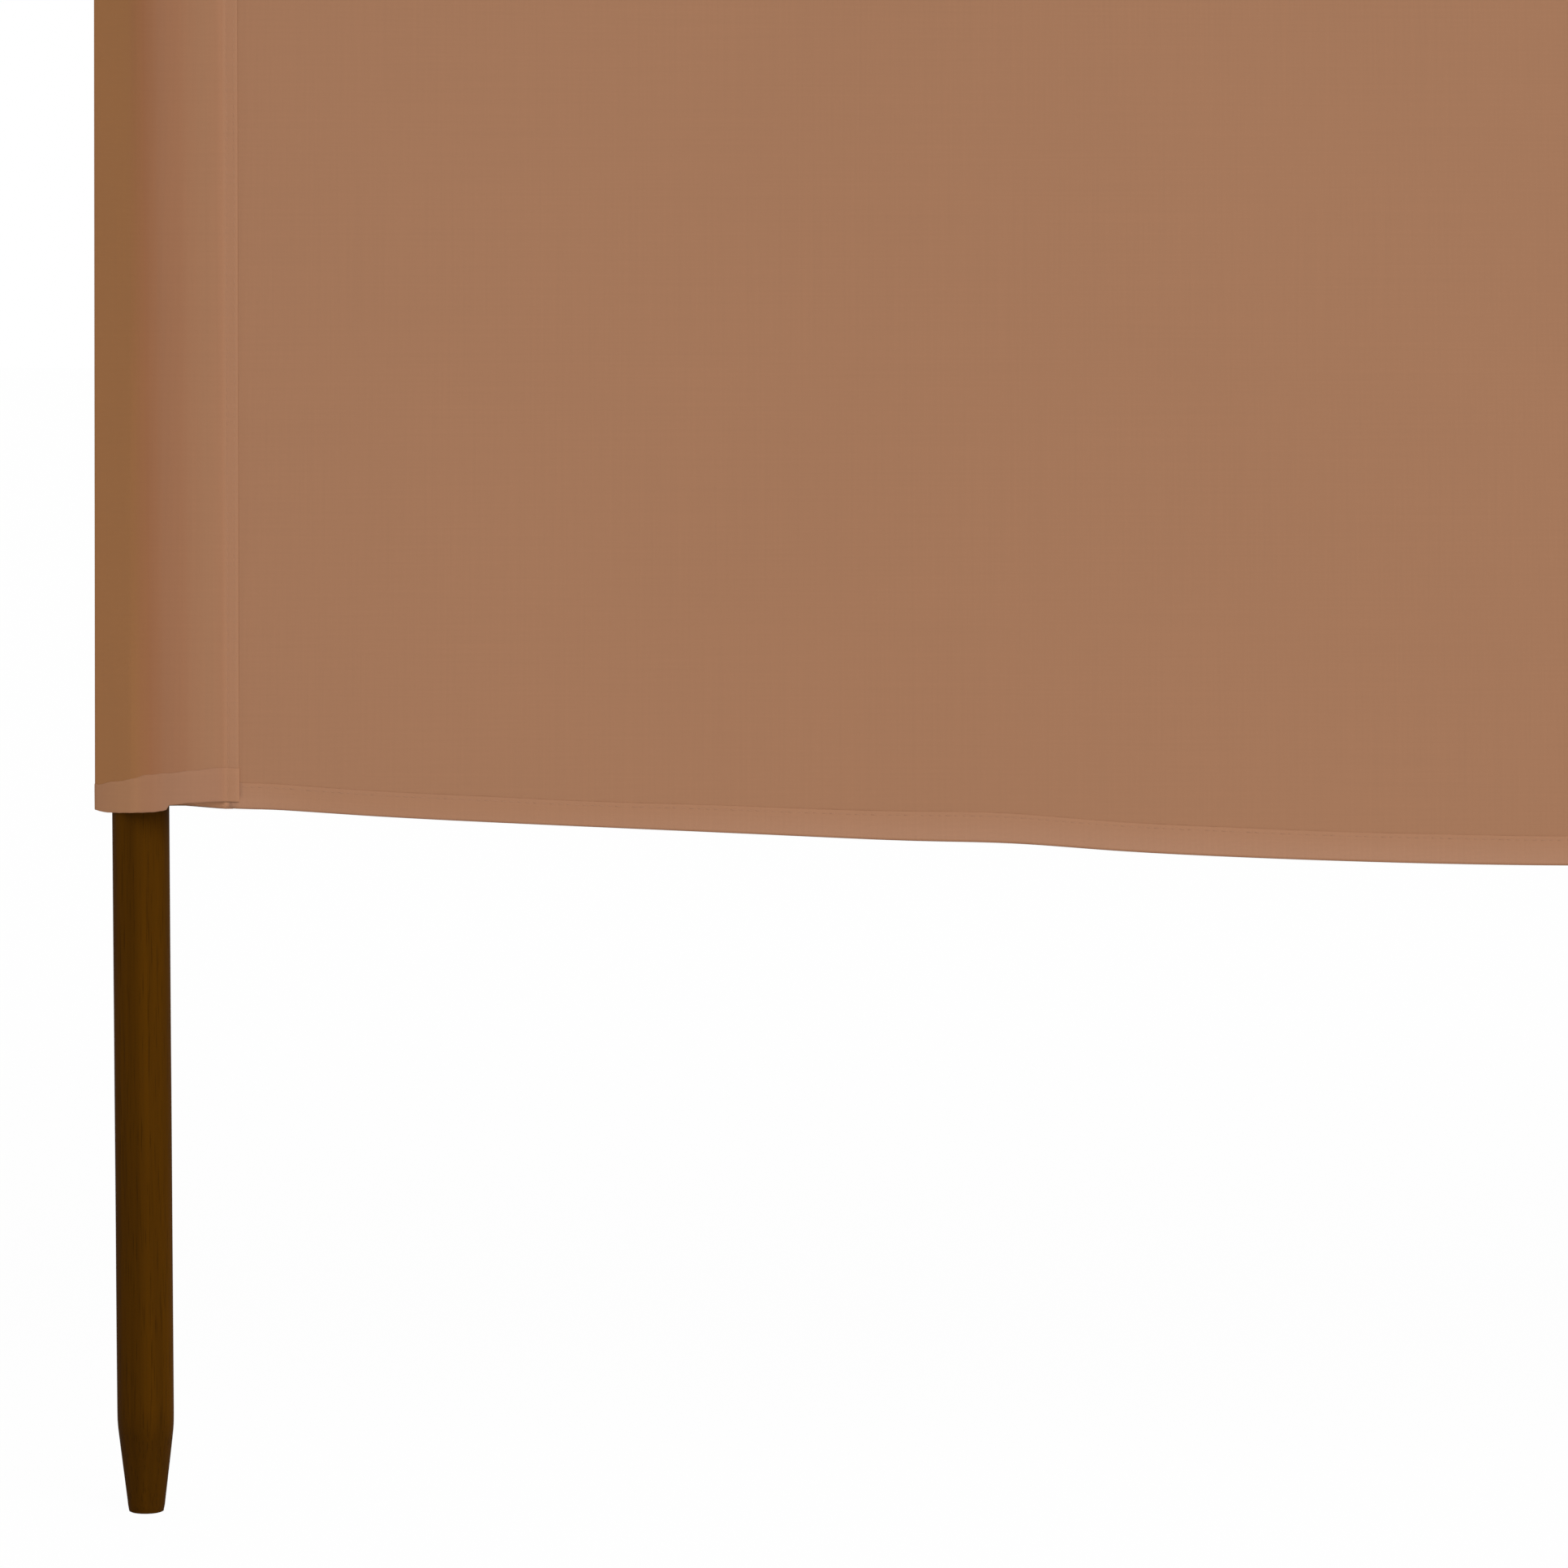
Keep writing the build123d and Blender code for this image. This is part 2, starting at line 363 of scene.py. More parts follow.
def cloth_paint(name, tint, through_and_shade_stops):
    """Woven polyester; its behind value, by the stops given, adds the post seen through it, painted shade
    and painted light.
    """
    paint, tree, shader, pattern = new_paint(name, "plain weave", tint, roughness=0.80, bump_height=0.05)
    cut = tree.nodes.new("ShaderNodeUVMap")
    cut.uv_map = "cloth"
    tree.links.new(cut.outputs["UV"], pattern.inputs["Place"])
    # A ramp on the behind value multiplies the colour: the post seen through the cloth, painted shade,
    # painted light.
    behind = tree.nodes.new("ShaderNodeAttribute")
    behind.attribute_name = "behind"
    through_and_shade = tree.nodes.new("ShaderNodeValToRGB")
    ramp = through_and_shade.color_ramp
    while len(ramp.elements) < len(through_and_shade_stops):
        ramp.elements.new(0.5)
    for stop, (amount, shown) in zip(ramp.elements, through_and_shade_stops):
        stop.position = amount
        stop.color = (*shown, 1.0)
    through = tree.nodes.new("ShaderNodeMix")
    through.data_type = "RGBA"
    through.blend_type = "MULTIPLY"
    through.inputs["Factor"].default_value = 1.0
    tree.links.new(behind.outputs["Fac"], through_and_shade.inputs["Fac"])
    tree.links.new(pattern.outputs["Colour"], through.inputs["A"])
    tree.links.new(through_and_shade.outputs["Color"], through.inputs["B"])
    tree.links.new(through.outputs["Result"], shader.inputs["Base Color"])
    shader.inputs["Specular IOR Level"].default_value = 0.12
    shader.inputs["Sheen Weight"].default_value = 0.02
    shader.inputs["Sheen Roughness"].default_value = 0.5
    return paint

# Stops of the behind value, lowest first: painted light in the shade under the flap and by the pockets'
# edges;
# in the pocket and beside the post; and the dark post seen through the thin cloth, partly painted shade.
# the lighter doubled cloth, also painted light by the seams; the plain cloth; painted shade by the seams
# and folds,
painted_light, doubled_cloth_and_light, open_air, fold_and_seam_shade = 0.0, 0.08, 0.2, 0.35
pocket_shade, post_gap_shade, post_through_and_shade = 0.55, 0.8, 1.0
make_plain_weave()
cloth_brown = cloth_paint("brown cloth", (0.362, 0.180, 0.098), [
    (painted_light, (1.8, 1.8, 1.8)), (doubled_cloth_and_light, (1.06, 1.08, 1.12)), (open_air, (1.0, 1.0, 1.0)),
    (fold_and_seam_shade, (0.885, 0.885, 0.865)),
    (pocket_shade, (0.85, 0.785, 0.735)), (post_gap_shade, (0.89, 0.75, 0.61)), (post_through_and_shade, (1.0, 0.89, 0.60))])
hem_brown = cloth_paint("brown hem", (0.412, 0.216, 0.132), [
    (painted_light, (1.35, 1.35, 1.35)), (doubled_cloth_and_light, (1.0, 1.0, 0.98)), (open_air, (0.93, 0.885, 0.80)),
    (fold_and_seam_shade, (0.815, 0.782, 0.74)),
    (pocket_shade, (0.80, 0.76, 0.705)), (post_gap_shade, (0.87, 0.79, 0.69)), (post_through_and_shade, (1.03, 0.955, 0.765))])

def fade(value, low, high):
    """0 up to low, 1 from high on, with a smooth rise between."""
    share = min(max((value - low) / (high - low), 0.0), 1.0)
    return share * share * (3.0 - 2.0 * share)

def eased(points, x):
    """The value at x of a smooth line through pairs of x and value."""
    for (x_before, before), (x_after, after) in zip(points, points[1:]):
        if x < x_after:
            break
    return before + (after - before) * fade(x, x_before, x_after)

def lay_cloth(columns, rows, place):
    """A grid of cloth; place gives each crossing its point, its spot when flat and its behind value for the
    colour ramp.
    """
    bm = bmesh.new()
    flat = bm.loops.layers.uv.new("cloth")
    behind = bm.verts.layers.float.new("behind")
    bmesh.ops.create_grid(bm, x_segments=columns, y_segments=rows, size=0.5)
    spots = {}
    for corner in bm.verts:
        column = round((corner.co.x + 0.5) * columns)
        row = round((corner.co.y + 0.5) * rows)
        point, spots[corner], corner[behind] = place(column, row)
        corner.co = point
    for face in bm.faces:
        face.smooth = True
        for loop in face.loops:
            loop[flat].uv = spots[loop.vert]
    return bm

def thicken(piece, thickness):
    solid = piece.modifiers.new("thickness", "SOLIDIFY")
    solid.thickness = thickness * metres
    solid.offset = 0.0

sheets = {}

def hang(cloth, width, *hangs_from):
    """Gives a cloth its thickness, and notes its cut width, what it hangs from and what is on it."""
    thicken(cloth, cloth_weight)
    sheets[cloth.name] = (cloth, width, hangs_from, [])

def sewn_on(name, piece):
    """Notes that a hem or a row of sewing goes with the cloth of that name."""
    sheets[name][3].append(piece)

def spread(low, high, fine, coarse, margin):
    """Heights or distances from low to high, close together within the margins and wider between."""
    stops = [low]
    while stops[-1] < high - 0.5 * fine:
        near = min(stops[-1] - low, high - stops[-1])
        step = fine + (coarse - fine) * fade(near, 0.5 * margin, 1.5 * margin)
        stops.append(stops[-1] + step)
    size = (high - low) / (stops[-1] - low)
    return [low + (stop - low) * size for stop in stops]

cloth_rows = spread(0.0, 1.0, fine=0.0035, coarse=0.014, margin=0.03)

# Pocket cloth. It is drawn in plan as a line of cloth and carried up the post; the sewn side of the
# pocket leans a little, so the crease of an end pocket runs up to the right of the post's own line.
lean_run = 402.0
crease_lean_low, crease_lean_gain = -0.9, 3.5
seam_lean_low, seam_lean_gain = 0.3, 1.9

def lean_at(height):
    """How far the crease and the sewn edge stand to the right at a height, in an end pocket."""
    rise = (height - cloth_low) / lean_run
    rise -= 0.5 * max(rise - 1.0, 0.0) ** 2
    return crease_lean_low + crease_lean_gain * rise, seam_lean_low + seam_lean_gain * rise

def between(first, last, count):
    """Evenly spaced points from first up to last, without last itself."""
    return [first.lerp(last, step / count) for step in range(count)]

def around(radius, first, last, count, centre=(0.0, 0.0)):
    """Points on a round from the angle first up to the angle last, without last itself."""
    middle = Vector(centre)
    angles = [first + (last - first) * step / count for step in range(count)]
    return [middle + radius * Vector((cos(angle), sin(angle))) for angle in angles]

def touch_angle(point, radius):
    """The angle, seen from the post's line, where cloth from the point meets the round behind it."""
    opening = acos(min(radius / point.length, 1.0))
    towards = atan2(point.y, point.x)
    return towards + opening if point.x > 0 else towards - opening

crease_radius = 0.5
facet_across, facet_forward = 0.738, 0.674
facet_way = Vector((facet_across, -facet_forward))
facet_out = Vector((-facet_forward, -facet_across))
flap_way = Vector((0.62, 0.785))
swell_start, swell_end = 19.0, 15.0
crease_slide = Vector((1.0, -0.913))

def end_pocket_line(height):
    """The line of the end pocket's cloth in plan, from the seam behind to the turned edge of the flap."""
    crease_lean, seam_lean = lean_at(height)
    crease = Vector((crease_x, 0.0)) + crease_slide * crease_lean
    seam = Vector((seam_x + seam_lean, seam_y))
    first = touch_angle(seam, back_radius)
    last = first + (touch_angle(crease * 1.02, back_radius) - first) % (2 * pi)
    back_way = (back_radius * Vector((cos(last), sin(last))) - crease).normalized()
    back_out = Vector((-back_way.y, back_way.x))
    facet_start = crease + crease_radius * facet_out
    facet_end = facet_start + facet_way * (facet_length + 0.6 * crease_lean / facet_across)
    flap_seam = Vector((seam_x + seam_lean, strip_y))
    line = between(Vector((joint_x + seam_lean, seam_y)), seam, 2)
    line += between(seam, back_radius * Vector((cos(first), sin(first))), 8)
    line += around(back_radius, first, last, 14)
    line += between(back_radius * Vector((cos(last), sin(last))), crease + crease_radius * back_out, 5)
    line += around(crease_radius, atan2(back_out.y, back_out.x),
                   atan2(facet_out.y, facet_out.x) + 2 * pi, 4, crease)
    line += between(facet_start, facet_end, 8)
    swell = interpolate_bezier(facet_end, facet_end + facet_way * swell_start,
                               flap_seam - flap_way * swell_end, flap_seam, 41)
    line += [Vector(point) for point in swell[:-1]]
    edge = Vector((flap_edge_x + seam_lean - fold_radius, strip_y))
    line += between(flap_seam, edge, 4)
    line += around(fold_radius, -0.5 * pi, 0.5 * pi, 4, edge + Vector((0.0, fold_radius)))
    turned_in = Vector((seam_x + seam_lean + 1.0, under_y))
    line += between(Vector((edge.x, under_y)), turned_in, 3)
    return line + [turned_in]

def walked(line):
    """How far along the line each of its points is."""
    steps = [0.0]
    for here, there in zip(line, line[1:]):
        steps.append(steps[-1] + (there - here).length)
    return steps

def outward_at(line, column):
    """The way straight out of the cloth at one point of its line."""
    before = line[max(column - 1, 0)]
    after = line[min(column + 1, len(line) - 1)]
    way = (after - before).normalized()
    return Vector((way.y, -way.x))

# Columns of the end pocket's line: where the crease, the facet, the sewn strip and the turned edge come
crease_column = 27
facet_column = 33
strip_column = 81
fold_column = 87

# How much higher than cloth_low the edge is at each x, in the flap and in the cloth behind the post
flap_foot = [(-23.0, 0.0), (-21.0, -0.5), (-16.0, -0.9), (-10.0, -0.6), (-3.5, -0.1), (3.0, 0.4),
             (9.0, 0.8), (15.9, 1.7), (17.7, 4.3), (28.0, 5.3), (38.0, 5.6), (52.0, 5.1)]
back_foot = [(-23.0, 0.0), (6.0, 0.0), (15.0, 1.5), (21.0, 1.9), (42.0, 1.7), (47.0, 1.75)]

def end_pocket_foot(column, x):
    """Height of the lower edge of an end pocket round its line; the flap is drawn up beside the post."""
    if column < crease_column:
        return cloth_low + eased(back_foot, x)
    return cloth_low + eased(flap_foot, x)

# The behind value along the flap at each x, and along any pocket's front on the way to its seam:
# the post seen through the thin cloth, partly painted shade; painted shade across the pocket; painted light
# at the seam
seam_shade_and_light = [(24.0, 0.55), (31.0, 0.43), (37.0, 0.35), (41.5, 0.30), (44.5, 0.19), (46.5, 0.13),
                (51.0, 0.16)]
flap_through_and_shade = [(-24.0, post_through_and_shade), (-1.0, post_through_and_shade), (6.4, 0.85), (11.6, 0.70), (17.0, 0.56), *seam_shade_and_light]

def end_pocket_through_and_shade(column, x, height):
    """The behind value of an end pocket's cloth: the post seen through it, painted shade, and painted light
    at the shaded foot of its back layer.
    """
    if column < crease_column - 4:
        foot = (1.0 - fade(height - cloth_low, 8.0, 12.0)) * (1.0 - fade(x, 42.0, 50.0))
        clear = open_air + (painted_light - open_air) * foot
        return clear + (post_through_and_shade - clear) * (1.0 - fade(abs(x), 9.0, 17.0))
    return eased(flap_through_and_shade, x)

end_lines = {}
end_walks = {}
for share in cloth_rows:
    end_lines[share] = end_pocket_line(cloth_low + share * (cloth_top - cloth_low))
    end_walks[share] = walked(end_lines[share])

def end_pocket_point(share, column, out, x):
    """A point on the end pocket's cloth, out from its middle layer, and its height at that share."""
    line = end_lines[share]
    low = end_pocket_foot(column, line[column].x)
    height = low + share * (cloth_top - low)
    ripple = 0.35 * fade(column, facet_column, facet_column + 6)
    ripple *= 1.0 - fade(column, strip_column - 9, strip_column)
    ripple *= rumple(x / 300.0, column / 12.0, height / 55.0)
    point = line[column] + (ripple + out) * outward_at(line, column)
    return point, height

def end_pocket_cloth(x, facing):
    def place(column, row):
        share = cloth_rows[row]
        point, height = end_pocket_point(share, column, 0.0, x)
        spot = ((end_walks[share][column] + x) * metres, height * metres)
        return (x + facing * point.x, point.y, height), spot, end_pocket_through_and_shade(column, point.x, height)
    bm = lay_cloth(len(end_lines[0.0]) - 1, len(cloth_rows) - 1, place)
    if facing < 0:
        bmesh.ops.reverse_faces(bm, faces=bm.faces)
    return bm

for number, facing in ((1, 1.0), (bay_count + 1, -1.0)):
    pocket = finish_piece(f"pocket_cloth_{number}", end_pocket_cloth((number - 1) * bay_pitch, facing),
                          cloth_brown, "cloth", f"pocket_{number}")
    hang(pocket, end_walks[0.0][-1], f"turned_post_{number}")

# Middle pockets. The long cloth passes behind the post, and a strip of the same cloth with both its
# edges turned under is sewn down on either side in front.
def middle_back_line():
    """The line of the cloth in plan behind a middle post, from joint to joint."""
    seam = Vector((seam_x, seam_y))
    first = touch_angle(seam, back_radius)
    line = between(Vector((joint_x, seam_y)), seam, 2)
    line += between(seam, back_radius * Vector((cos(first), sin(first))), 8)
    line += around(back_radius, first, pi - first, 16)
    line += between(back_radius * Vector((-cos(first), sin(first))), Vector((-seam_x, seam_y)), 8)
    line += between(Vector((-seam_x, seam_y)), Vector((-joint_x, seam_y)), 2)
    return line + [Vector((-joint_x, seam_y))]

strip_swell_run = 10.0
strip_swell_y = -24.5

def middle_front_line():
    """The line of the strip in plan, with both its edges turned under."""
    edge = flap_edge_x - fold_radius
    line = between(Vector((-seam_x - 1.0, under_y)), Vector((-edge, under_y)), 3)
    line += around(fold_radius, 0.5 * pi, 1.5 * pi, 4, (-edge, strip_y + fold_radius))
    line += between(Vector((-edge, strip_y)), Vector((-seam_x, strip_y)), 4)
    swell = interpolate_bezier(Vector((-seam_x, strip_y)),
                               Vector((-seam_x + strip_swell_run, strip_swell_y)),
                               Vector((seam_x - strip_swell_run, strip_swell_y)),
                               Vector((seam_x, strip_y)), 33)
    line += [Vector(point) for point in swell[:-1]]
    line += between(Vector((seam_x, strip_y)), Vector((edge, strip_y)), 4)
    line += around(fold_radius, -0.5 * pi, 0.5 * pi, 4, (edge, strip_y + fold_radius))
    line += between(Vector((edge, under_y)), Vector((seam_x + 1.0, under_y)), 3)
    return line + [Vector((seam_x + 1.0, under_y))]

back_line, front_line = middle_back_line(), middle_front_line()
back_walk, front_walk = walked(back_line), walked(front_line)

def middle_foot(x):
    """How much higher at its seams than at its post the mouth of a middle pocket stands."""
    return 0.6 - 0.4 * rumple(x / 200.0, 3.0, 0.0)

def middle_point(line, column, share, out, x):
    """A point on a middle pocket's cloth, out from its middle layer, and its height at that share."""
    point = line[column]
    low = cloth_low + middle_foot(x) * fade(abs(point.x), post_radius, joint_x)
    height = low + share * (cloth_top - low)
    loose = 0.0
    if line is front_line:
        loose = 0.5 * fade(seam_x - abs(point.x), 0.0, 12.0)
        loose *= rumple(x / 300.0, point.x / 22.0, height / 70.0)
    return point + (loose + out) * outward_at(line, column), height

# Along the strip: the post seen through it at the middle, painted shade across the pocket, painted light at
# its seams.
strip_through_and_shade = [(0.0, 0.74), (16.0, pocket_shade), *seam_shade_and_light]

def middle_cloth(x, line, walk):
    def place(column, row):
        share = cloth_rows[row]
        point, height = middle_point(line, column, share, 0.0, x)
        if line is front_line:
            behind = eased(strip_through_and_shade, abs(point.x))
        else:
            behind = open_air + (post_through_and_shade - open_air) * (1.0 - fade(abs(point.x), 9.0, 17.0))
        return (x + point.x, point.y, height), ((walk[column] + x) * metres, height * metres), behind
    return lay_cloth(len(line) - 1, len(cloth_rows) - 1, place)

for number in range(2, bay_count + 1):
    x = (number - 1) * bay_pitch
    back = finish_piece(f"pocket_back_{number}", middle_cloth(x, back_line, back_walk), cloth_brown,
                        "cloth", f"pocket_{number}")
    strip = finish_piece(f"pocket_strip_{number}", middle_cloth(x, front_line, front_walk), cloth_brown,
                         "cloth", f"pocket_{number}")
    hang(back, back_walk[-1], f"turned_post_{number}")
    hang(strip, front_walk[-1], back.name)

# Bay cloth. Each bay hangs slack between two pockets: it bellies to the front, its lower and upper
# edges sag to the middle, and the sewing draws small puckers along its hems and seams.
belly = 35.0
low_sag = 20.0
top_sag = 10.0
sag_round = 150.0
end_bay_slack, bay_slack = 1.3, 0.9
puff, puff_run = 0.26, 5.0
sway, sway_run = 1.1, 120.0
top_waves = 0.7
seam_pull = 0.10
hem_pull, hem_pull_line = 0.20, 11.0
# Waves of the lower edge of each bay: their middle, their width and how far they rise
slack_spots = {
    1: ((62.0, 45.0, 0.9), (330.0, 110.0, 0.5), (428.0, 42.0, 1.5), (735.0, 130.0, -1.3)),
    2: ((260.0, 90.0, 0.9), (820.0, 70.0, 1.0), (1120.0, 100.0, -0.7)),
    3: ((180.0, 60.0, -0.7), (540.0, 90.0, 1.1), (1010.0, 80.0, 0.8)),
    4: ((330.0, 70.0, 1.2), (700.0, 120.0, -0.8), (1160.0, 60.0, 0.9)),
    5: ((210.0, 80.0, 0.7), (610.0, 110.0, -0.9), (905.0, 45.0, 1.4), (1260.0, 50.0, 0.8)),
}

def bay_ends(bay, height, reach):
    """Where the cloth of a bay starts and stops at a height, reach from the posts' lines."""
    seam_lean = lean_at(height)[1]
    left = reach + (seam_lean if bay == 1 else 0.0)
    right = bay_pitch - reach - (seam_lean if bay == bay_count else 0.0)
    return left, right

def sagged(x, sag):
    """How far an edge hangs down at x: two straight runs and a wide round in the middle."""
    half = bay_pitch / 2 - flap_edge_x
    out = abs(x - bay_pitch / 2)
    if out < sag_round:
        out = sag_round / 2 + out * out / (2 * sag_round)
    return sag * (half - out) / (half - sag_round / 2)

def seam_foot(number):
    """How much higher than its middle the mouth of a pocket stands at its seams."""
    if number in (1, bay_count + 1):
        return eased(back_foot, joint_x)
    return middle_foot((number - 1) * bay_pitch)

def bay_low(bay, x):
    """Height of the lower edge of a bay."""
    lump = sum(rise * exp(-((x - centre) / width) ** 2) for centre, width, rise in slack_spots[bay])
    from_left = fade(x, joint_x, joint_x + 25.0)
    from_right = fade(bay_pitch - x, joint_x, joint_x + 25.0)
    free = from_left * from_right
    sewn = (1.0 - from_left) * seam_foot(bay) + (1.0 - from_right) * seam_foot(bay + 1)
    loose = (end_bay_slack if bay == 1 else bay_slack) + lump
    return cloth_low - sagged(x, low_sag) + sewn + free * loose

def bay_top(bay, x):
    """Height of the upper edge of a bay."""
    free = fade(x, joint_x, joint_x + 40.0) * fade(bay_pitch - x, joint_x, joint_x + 40.0)
    return cloth_top - sagged(x, top_sag) + top_waves * free * rumple(x / 130.0, 9.0 * bay, 0.0)

def bay_depth(bay, x, height):
    """How far in front of the posts' line the middle of the cloth hangs, as a y."""
    left, right = bay_ends(bay, height, flap_edge_x)
    from_left, from_right = max(x - left, 0.0), max(right - x, 0.0)
    share = from_left / (from_left + from_right)
    y = seam_y - 4.0 * belly * share * (1.0 - share)
    near = min(from_left, from_right)
    y -= puff * exp(-near / puff_run) * fade(near, 0.0, 3.0)
    y += sway * fade(near, 0.0, sway_run) * rumple(x / 170.0 + 5.0 * bay, height / 240.0, 1.3)
    y += seam_pull * near * exp(-near / 6.0) * rumple(height / 9.0, 4.0 * bay, 2.0)
    for edge, line in ((bay_low(bay, x), hem_pull_line), (bay_top(bay, x), -hem_pull_line)):
        close = exp(-((height - edge - line) / 10.0) ** 2)
        if close > 0.01:
            y += hem_pull * close * fade(near, 0.0, 15.0) * rumple(x / 7.0, 31.0 * bay, height / 30.0)
    return y

bay_columns = spread(0.0, 1.0, fine=0.0017, coarse=0.0125, margin=0.03)
bay_width = 1242.0

def bay_cloth(bay):
    start = (bay - 1) * bay_pitch
    def place(column, row):
        share = cloth_rows[row]
        guess = cloth_low + share * (cloth_top - cloth_low)
        left, right = bay_ends(bay, guess, joint_x)
        x = left + bay_columns[column] * (right - left)
        low, top = bay_low(bay, x) + 0.5, bay_top(bay, x) - 0.5
        height = low + share * (top - low)
        point = (start + x, bay_depth(bay, x, height), height)
        return point, ((start + x) * metres, height * metres), open_air
    return lay_cloth(len(bay_columns) - 1, len(cloth_rows) - 1, place)

for bay in range(1, bay_count + 1):
    cloth = finish_piece(f"bay_cloth_{bay}", bay_cloth(bay), cloth_brown, "cloth", f"panel_{bay}")
    hang(cloth, bay_width, f"turned_post_{bay}", f"turned_post_{bay + 1}")

# Bay hems. The edge of the cloth is turned up over itself and sewn along, below and above; the
# double cloth shows a little lighter than the single.
hem_height = 13.8
hem_weight = 0.30
hem_out = 0.34
# Section of a hem: how far it stands out in front of the cloth and how far up from the edge
hem_section = [(0.17, hem_height), (0.28, hem_height - 0.9), (0.33, hem_height - 3.0), (hem_out, 9.0),
               (hem_out, 6.0), (hem_out, 3.0), (hem_out, 1.0), (0.29, 0.2), (0.15, -0.12), (-0.05, -0.20),
               (-0.20, -0.10), (-0.29, 0.3), (-0.33, 1.2), (-hem_out, 3.5), (-hem_out, 6.0),
               (-hem_out, 9.0), (-hem_out, hem_height - 3.0), (-0.32, hem_height - 0.8),
               (-0.20, hem_height)]
hem_walk = walked([Vector(point) for point in hem_section])
flap_lift = 4.5
hem_tuck, hem_lap = 1.8, 1.5
hem_stops = spread(0.0, 1.0, fine=0.004, coarse=0.0042, margin=0.03)

def bay_hem_height(x):
    """The hem is a little narrower beside the posts."""
    near = min(x, bay_pitch - x)
    return 0.88 + 0.12 * fade(near, 180.0, 420.0) + 0.05 * rumple(x / 90.0, 5.0, 0.0)

def hem_level(bay, x, up, at_top):
    """The height of what is so far up from the edge of a bay, or down from it at the top."""
    return bay_top(bay, x) - up if at_top else bay_low(bay, x) + up

def hem_shade_and_light(x, up):
    """The hem is lightest low down, away from the posts; painted light right by the posts, painted shade at
    its very fold.
    """
    if up < 0.5:
        return fold_and_seam_shade
    share = up / hem_height
    near = min(x, bay_pitch - x)
    beside = 0.164 + 0.064 * share - 0.04 * (1.0 - fade(near, 55.0, 90.0))
    return beside + (0.08 + 0.112 * share - beside) * fade(near, 150.0, 390.0)

def bay_hem(bay, at_top):
    """The cloth turned over the edge of a bay; at its ends it is pressed flat under the pockets."""
    start = (bay - 1) * bay_pitch
    def place(column, row):
        out, up = hem_section[row]
        guess = cloth_top if at_top else cloth_low
        under_flap = out > 0.0 and (up > flap_lift or at_top)
        reach = flap_edge_x - hem_tuck if under_flap else joint_x - hem_lap if out > 0.0 else joint_x
        left, right = bay_ends(bay, guess, reach)
        x = left + hem_stops[column] * (right - left)
        through_and_shade = hem_shade_and_light(x, up)
        up *= bay_hem_height(x)
        if out > 0.0:
            # Beside the pocket's edge the front of the hem goes to the lowest stop: painted light against
            # the groove's shadow.
            through_and_shade *= fade(min(x, bay_pitch - x), 48.0, 51.0)
            tucked = 0.55 if under_flap else 0.05
            out *= tucked + (1.0 - tucked) * fade(min(x - left, right - x), 0.9, 5.0)
        height = hem_level(bay, x, up, at_top)
        y = bay_depth(bay, x, height) - out
        return (start + x, y, height), ((start + x) * metres, (cloth_low + hem_walk[row]) * metres), through_and_shade
    bm = lay_cloth(len(hem_stops) - 1, len(hem_section) - 1, place)
    if not at_top:
        bmesh.ops.reverse_faces(bm, faces=bm.faces)
    return bm

for bay in range(1, bay_count + 1):
    for at_top, name, node in ((False, "bay_hem_low", "bottom_hem"), (True, "bay_hem_top", "top_hem")):
        hem = finish_piece(f"{name}_{bay}", bay_hem(bay, at_top), hem_brown, "hem_cloth", f"{node}_{bay}")
        thicken(hem, hem_weight)
        sewn_on(f"bay_cloth_{bay}", hem)

# Pocket hems. The mouths of the pockets have the same turned hem, sewn before the pocket is closed,
# so it goes round the outside of the pocket and over the edge of the flap.
mouth_hem = 14.0
# Its section: how far out from the pocket's cloth and how far up from the mouth
mouth_section = [(-0.18, -0.12), (-0.04, -0.22), (0.15, -0.22), (0.29, -0.08), (hem_out, 0.5),
                 (hem_out, 2.5), (hem_out, 5.0), (hem_out, 8.0), (hem_out, 11.0), (0.29, 13.2),
                 (0.17, mouth_hem)]
# Height of the hem at each x of the flap, and its behind value: the post seen through it, painted shade
# across the pocket
mouth_heights = [(-21.5, 12.4), (-13.0, 14.8), (-7.2, 15.2), (0.0, 16.4), (6.4, 18.0), (15.9, 17.9),
                 (17.7, 15.3), (28.0, 15.5), (43.0, 16.3), (53.0, 16.3)]
mouth_through_and_shade = [(-24.0, 0.90), (-19.0, 0.92), (-14.6, 0.96), (-7.2, post_through_and_shade), (0.0, 0.98), (6.4, 0.83),
                 (12.4, 0.70), (17.0, 0.56), (24.0, 0.50), (31.0, 0.47), (36.0, 0.44), (41.1, 0.33),
                 (44.6, 0.21), (51.0, 0.20)]

def mouth_hem_height(column, x, at_top):
    """The hem of an end pocket is narrow at the crease, and at the foot it is wider over the flap."""
    if at_top:
        return 13.4 + 1.4 * fade(column, facet_column, facet_column + 20)
    return 12.4 if column < crease_column else eased(mouth_heights, x)

def end_pocket_hem(x, facing, at_top):
    """One band round the outside of the pocket, from the joint to the turned edge of the flap."""
    def place(column, row):
        out, up = mouth_section[row]
        share = 1.0 if at_top else 0.0
        line_x = end_lines[share][column].x
        up *= mouth_hem_height(column, line_x, at_top) / mouth_hem
        out *= 1.0 - 0.75 * exp(-((column - crease_column - 2) / 5.0) ** 2)
        point, edge = end_pocket_point(share, column, out, x)
        height = edge - up if at_top else edge + up
        spot = ((end_walks[share][column] + x) * metres, height * metres)
        behind = open_air if column < crease_column else eased(mouth_through_and_shade, point.x)
        return (x + facing * point.x, point.y, height), spot, behind
    bm = lay_cloth(fold_column + 2, len(mouth_section) - 1, place)
    if (facing < 0) != at_top:
        bmesh.ops.reverse_faces(bm, faces=bm.faces)
    return bm

